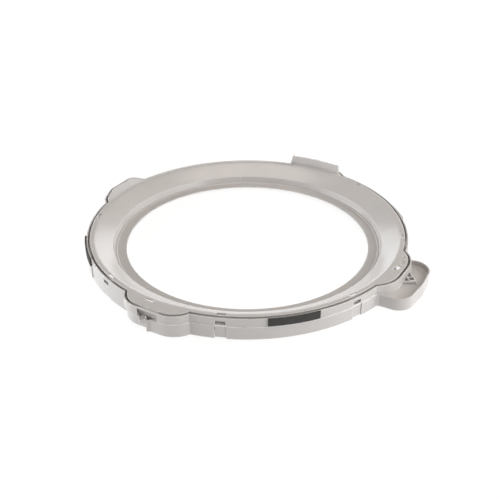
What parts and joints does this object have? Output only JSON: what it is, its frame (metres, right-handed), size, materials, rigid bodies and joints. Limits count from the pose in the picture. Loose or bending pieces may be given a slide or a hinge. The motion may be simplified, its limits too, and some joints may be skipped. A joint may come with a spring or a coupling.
{
  "type": "washing machine tub ring",
  "caption": "Moulded plastic ring that clips over the rim of a top loading washing machine's outer tub, with a funnel towards the centre opening and a skirt with latches.",
  "frame": {"origin": "on the ring's axis, at the height of the skirt's bottom edge", "axes": "+Z along the ring's axis, up through the opening; the tray lies towards +X and -Y, and the tab towards +X and +Y"},
  "size_m": [0.5778, 0.5618, 0.0539],
  "materials": {
    "ring_plastic": "fine satin moulded surface, light warm grey",
    "foam": "matt black closed cell foam"
  },
  "bodies": {
    "root": {"tub_ring": "ring_plastic", "foam_strip_front": "foam", "foam_strip_left": "foam"}
  },
  "joints": []
}
